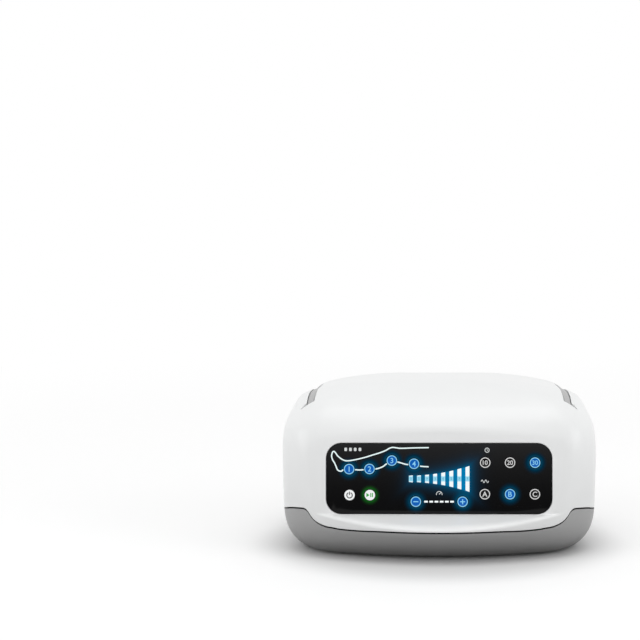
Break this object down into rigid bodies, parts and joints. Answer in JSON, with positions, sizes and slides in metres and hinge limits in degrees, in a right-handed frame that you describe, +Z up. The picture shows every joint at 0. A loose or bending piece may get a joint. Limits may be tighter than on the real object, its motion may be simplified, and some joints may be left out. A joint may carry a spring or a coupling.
{
  "type": "compression therapy pump",
  "caption": "Table-top air compression therapy pump with a domed white cover, a grey base tray and a dark front panel of lit round keys and pressure bars.",
  "frame": {"origin": "middle of the footprint on the surface that the feet stand on", "axes": "+X to the viewer's right along the width, -Y out of the front panel, +Z up"},
  "size_m": [0.28, 0.2059, 0.149],
  "materials": {
    "cover_white": "moulded white ABS, satin gloss",
    "base_grey": "moulded grey ABS, fine satin texture",
    "panel_black": "gloss black polycarbonate window",
    "key_lit_blue": "printed polycarbonate key, lit blue",
    "key_unlit": "printed polycarbonate key, unlit",
    "key_white": "printed polycarbonate key, lit white",
    "key_green": "printed polycarbonate key, lit green",
    "light_guide_clear": "clear acrylic, lit white from behind",
    "groove_grey": "moulded grey ABS trim",
    "foot_rubber": "moulded black rubber",
    "screw_steel": "zinc-plated steel screw",
    "socket_black": "moulded black nylon",
    "pin_brass": "turned brass pin",
    "inner_black": "moulded black ABS",
    "board_green": "glass-fibre board with green mask",
    "dome_steel": "pressed steel switch domes",
    "valve_plastic": "natural moulded acetal",
    "coil_copper": "enamelled copper winding",
    "plunger_steel": "turned steel plunger",
    "cradle_rubber": "moulded black rubber",
    "pump_plastic": "moulded dark grey nylon",
    "motor_steel": "drawn steel can and turned shaft",
    "transformer_iron": "varnished lamination stack with winding",
    "capacitor_sleeve": "shrink sleeve on an aluminium can",
    "hose_silicone": "translucent silicone hose",
    "ribbon_grey": "grey PVC ribbon cable",
    "lead_sheath": "PVC-sheathed lead"
  },
  "bodies": {
    "housing": {"top_cover": "cover_white", "base_tray": "base_grey", "control_panel": "panel_black", "light_guide": "light_guide_clear", "groove_liner_left": "groove_grey", "groove_liner_right": "groove_grey", "foot_front_left": "foot_rubber", "foot_back_left": "foot_rubber", "foot_front_right": "foot_rubber", "foot_back_right": "foot_rubber", "case_screw_front_left": "screw_steel", "case_screw_back_left": "screw_steel", "case_screw_front_right": "screw_steel", "case_screw_back_right": "screw_steel", "air_outlet_left": "socket_black", "air_outlet_right": "socket_black", "mains_inlet": "socket_black", "inlet_pin_left": "pin_brass", "inlet_pin_right": "pin_brass", "panel_carrier": "inner_black", "fan_frame": "inner_black", "remote_receiver": "inner_black", "pressure_sensor": "inner_black", "key_board": "board_green", "main_board": "board_green", "power_board": "board_green", "key_dome_sheet": "dome_steel", "valve_block": "valve_plastic", "solenoid_bank": "coil_copper", "pump_cradle": "cradle_rubber", "pump_head": "pump_plastic", "motor_can": "motor_steel", "transformer": "transformer_iron", "capacitor": "capacitor_sleeve", "pump_hose": "hose_silicone", "sensor_hose": "hose_silicone", "ribbon_cable": "ribbon_grey", "mains_lead": "lead_sheath", "supply_lead": "lead_sheath", "motor_lead": "lead_sheath"},
    "key_position_1": {"key_position_1": "key_lit_blue"},
    "key_position_2": {"key_position_2": "key_lit_blue"},
    "key_position_3": {"key_position_3": "key_lit_blue"},
    "key_position_4": {"key_position_4": "key_lit_blue"},
    "key_pressure_minus": {"key_pressure_minus": "key_lit_blue"},
    "key_pressure_plus": {"key_pressure_plus": "key_lit_blue"},
    "key_time_30": {"key_time_30": "key_lit_blue"},
    "key_mode_b": {"key_mode_b": "key_lit_blue"},
    "key_time_10": {"key_time_10": "key_unlit"},
    "key_time_20": {"key_time_20": "key_unlit"},
    "key_mode_a": {"key_mode_a": "key_unlit"},
    "key_mode_c": {"key_mode_c": "key_unlit"},
    "key_power": {"key_power": "key_white"},
    "key_play_pause": {"key_play_pause": "key_green"},
    "fan_rotor": {"fan_rotor": "inner_black"},
    "motor_shaft": {"motor_shaft": "motor_steel"},
    "valve_plunger_1": {"valve_plunger_1": "plunger_steel"},
    "valve_plunger_2": {"valve_plunger_2": "plunger_steel"},
    "valve_plunger_3": {"valve_plunger_3": "plunger_steel"},
    "valve_plunger_4": {"valve_plunger_4": "plunger_steel"}
  },
  "joints": [
    {"name": "key_position_1_press", "type": "slide", "parent": "housing", "child": "key_position_1", "axis": [0, 0.9848, -0.1736], "range_m": [0, 0.0005], "stiffness_N_per_m": 1000},
    {"name": "key_position_2_press", "type": "slide", "parent": "housing", "child": "key_position_2", "axis": [0, 0.9848, -0.1736], "range_m": [0, 0.0005], "stiffness_N_per_m": 1000},
    {"name": "key_position_3_press", "type": "slide", "parent": "housing", "child": "key_position_3", "axis": [0, 0.9848, -0.1736], "range_m": [0, 0.0005], "stiffness_N_per_m": 1000},
    {"name": "key_position_4_press", "type": "slide", "parent": "housing", "child": "key_position_4", "axis": [0, 0.9848, -0.1736], "range_m": [0, 0.0005], "stiffness_N_per_m": 1000},
    {"name": "key_pressure_minus_press", "type": "slide", "parent": "housing", "child": "key_pressure_minus", "axis": [0, 0.9848, -0.1736], "range_m": [0, 0.0005], "stiffness_N_per_m": 1000},
    {"name": "key_pressure_plus_press", "type": "slide", "parent": "housing", "child": "key_pressure_plus", "axis": [0, 0.9848, -0.1736], "range_m": [0, 0.0005], "stiffness_N_per_m": 1000},
    {"name": "key_time_30_press", "type": "slide", "parent": "housing", "child": "key_time_30", "axis": [0, 0.9848, -0.1736], "range_m": [0, 0.0005], "stiffness_N_per_m": 1000},
    {"name": "key_mode_b_press", "type": "slide", "parent": "housing", "child": "key_mode_b", "axis": [0, 0.9848, -0.1736], "range_m": [0, 0.0005], "stiffness_N_per_m": 1000},
    {"name": "key_time_10_press", "type": "slide", "parent": "housing", "child": "key_time_10", "axis": [0, 0.9848, -0.1736], "range_m": [0, 0.0005], "stiffness_N_per_m": 1000},
    {"name": "key_time_20_press", "type": "slide", "parent": "housing", "child": "key_time_20", "axis": [0, 0.9848, -0.1736], "range_m": [0, 0.0005], "stiffness_N_per_m": 1000},
    {"name": "key_mode_a_press", "type": "slide", "parent": "housing", "child": "key_mode_a", "axis": [0, 0.9848, -0.1736], "range_m": [0, 0.0005], "stiffness_N_per_m": 1000},
    {"name": "key_mode_c_press", "type": "slide", "parent": "housing", "child": "key_mode_c", "axis": [0, 0.9848, -0.1736], "range_m": [0, 0.0005], "stiffness_N_per_m": 1000},
    {"name": "key_power_press", "type": "slide", "parent": "housing", "child": "key_power", "axis": [0, 0.9848, -0.1736], "range_m": [0, 0.0005], "stiffness_N_per_m": 1000},
    {"name": "key_play_pause_press", "type": "slide", "parent": "housing", "child": "key_play_pause", "axis": [0, 0.9848, -0.1736], "range_m": [0, 0.0005], "stiffness_N_per_m": 1000},
    {"name": "fan_spin", "type": "hinge", "parent": "housing", "child": "fan_rotor", "pos_m": [0.026, 0.0812, 0.0228], "axis": [0, 1, 0], "continuous": true},
    {"name": "motor_spin", "type": "hinge", "parent": "housing", "child": "motor_shaft", "pos_m": [-0.05, 0.014, 0.0305], "axis": [1, 0, 0], "continuous": true},
    {"name": "valve_1_lift", "type": "slide", "parent": "housing", "child": "valve_plunger_1", "axis": [0, 0, 1], "range_m": [0, 0.0015], "stiffness_N_per_m": 100},
    {"name": "valve_2_lift", "type": "slide", "parent": "housing", "child": "valve_plunger_2", "axis": [0, 0, 1], "range_m": [0, 0.0015], "stiffness_N_per_m": 100},
    {"name": "valve_3_lift", "type": "slide", "parent": "housing", "child": "valve_plunger_3", "axis": [0, 0, 1], "range_m": [0, 0.0015], "stiffness_N_per_m": 100},
    {"name": "valve_4_lift", "type": "slide", "parent": "housing", "child": "valve_plunger_4", "axis": [0, 0, 1], "range_m": [0, 0.0015], "stiffness_N_per_m": 100}
  ]
}
